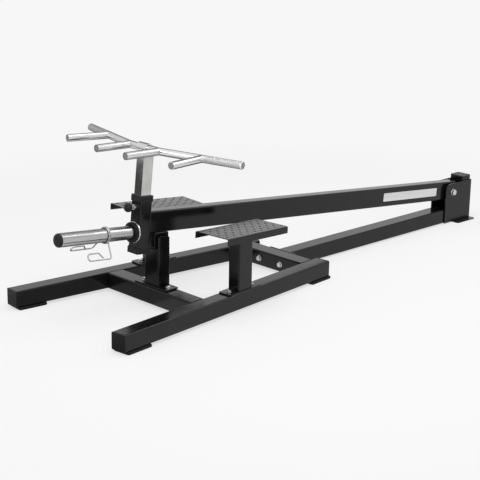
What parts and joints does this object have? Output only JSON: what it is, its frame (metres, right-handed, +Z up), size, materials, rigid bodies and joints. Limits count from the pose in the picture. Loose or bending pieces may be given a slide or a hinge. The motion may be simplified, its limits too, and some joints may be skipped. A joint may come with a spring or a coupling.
{
  "type": "t-bar row machine",
  "caption": "Floor-standing T-bar row machine: splayed steel base with footplates, hinged lever arm with weight sleeve and spring collar, and a height-adjustable mast with a multi-grip handle.",
  "frame": {"origin": "on the floor under the centre of the machine's bounding box, with the arm at rest in its cradle", "axes": "+X points back along the arm to the pivot post, -X is the front with the weight sleeve, -Y is the left side, +Z is up"},
  "size_m": [2.3312, 0.837, 0.6211],
  "materials": {
    "black_paint": "satin powder coat",
    "tread_plate": "coated tread plate",
    "chrome": "polished",
    "zinc_steel": "bright zinc",
    "black_plastic": "moulded",
    "rubber": "matt"
  },
  "bodies": {
    "frame": {"side_rail_left": "black_paint", "rail_end_cap_front_left": "black_plastic", "rail_end_cap_rear_left": "black_plastic", "foot_pad_front_left": "rubber", "foot_pad_rear_left": "rubber", "side_rail_right": "black_paint", "rail_end_cap_front_right": "black_plastic", "rail_end_cap_rear_right": "black_plastic", "foot_pad_front_right": "rubber", "foot_pad_rear_right": "rubber", "front_crossmember": "black_paint", "rear_crossmember": "black_paint", "spine_tube": "black_paint", "spine_flange": "black_paint", "spine_bolt_left": "zinc_steel", "spine_bolt_right": "zinc_steel", "pivot_post": "black_paint", "post_cap": "black_plastic", "cheek_plate_left": "black_paint", "cheek_plate_right": "black_paint", "rear_foot_plate": "black_paint", "pivot_bolt": "zinc_steel", "pivot_nut": "zinc_steel", "pedestal": "black_paint", "pedestal_base_plate": "black_paint", "pedestal_bolt_left": "zinc_steel", "pedestal_bolt_right": "zinc_steel", "cradle_pad": "rubber", "foot_post_left": "black_paint", "foot_post_base_left": "black_paint", "foot_post_bolt_front_left": "zinc_steel", "foot_post_bolt_rear_left": "zinc_steel", "footplate_left": "tread_plate", "foot_post_right": "black_paint", "foot_post_base_right": "black_paint", "foot_post_bolt_front_right": "zinc_steel", "foot_post_bolt_rear_right": "zinc_steel", "footplate_right": "tread_plate"},
    "arm": {"lever_arm": "black_paint", "arm_rear_cap": "black_plastic", "arm_rest_block": "black_paint", "pivot_sleeve": "zinc_steel", "mast_socket": "black_paint", "socket_top_collar": "black_plastic", "socket_bottom_cap": "black_plastic", "sleeve_flange": "zinc_steel", "sleeve_stop_ring": "rubber", "weight_sleeve": "chrome", "sleeve_end_cap": "black_plastic", "pin_barrel": "zinc_steel"},
    "mast": {"mast_tube": "chrome", "handle_saddle": "chrome", "handle_bar": "chrome", "grip_inner_left": "chrome", "grip_inner_right": "chrome", "grip_outer_left": "chrome", "grip_outer_right": "chrome"},
    "pull_pin": {"pull_pin": "zinc_steel", "pull_knob": "black_plastic"},
    "spring_collar": {"spring_collar": "chrome"}
  },
  "joints": [
    {"name": "arm_pivot", "type": "hinge", "parent": "frame", "child": "arm", "pos_m": [1.02131, 0, 0.1446], "axis": [0, 1, 0], "range_deg": [0, 35]},
    {"name": "mast_slide", "type": "slide", "parent": "arm", "child": "mast", "axis": [0.0999, 0, 0.995], "range_m": [0, 0.1]},
    {"name": "pull_pin_slide", "type": "slide", "parent": "arm", "child": "pull_pin", "axis": [0.995, 0, -0.0999], "range_m": [0, 0.01]},
    {"name": "spring_collar_slide", "type": "slide", "parent": "arm", "child": "spring_collar", "axis": [-0.995, 0, 0.0999], "range_m": [-0.105, 0.19]}
  ]
}
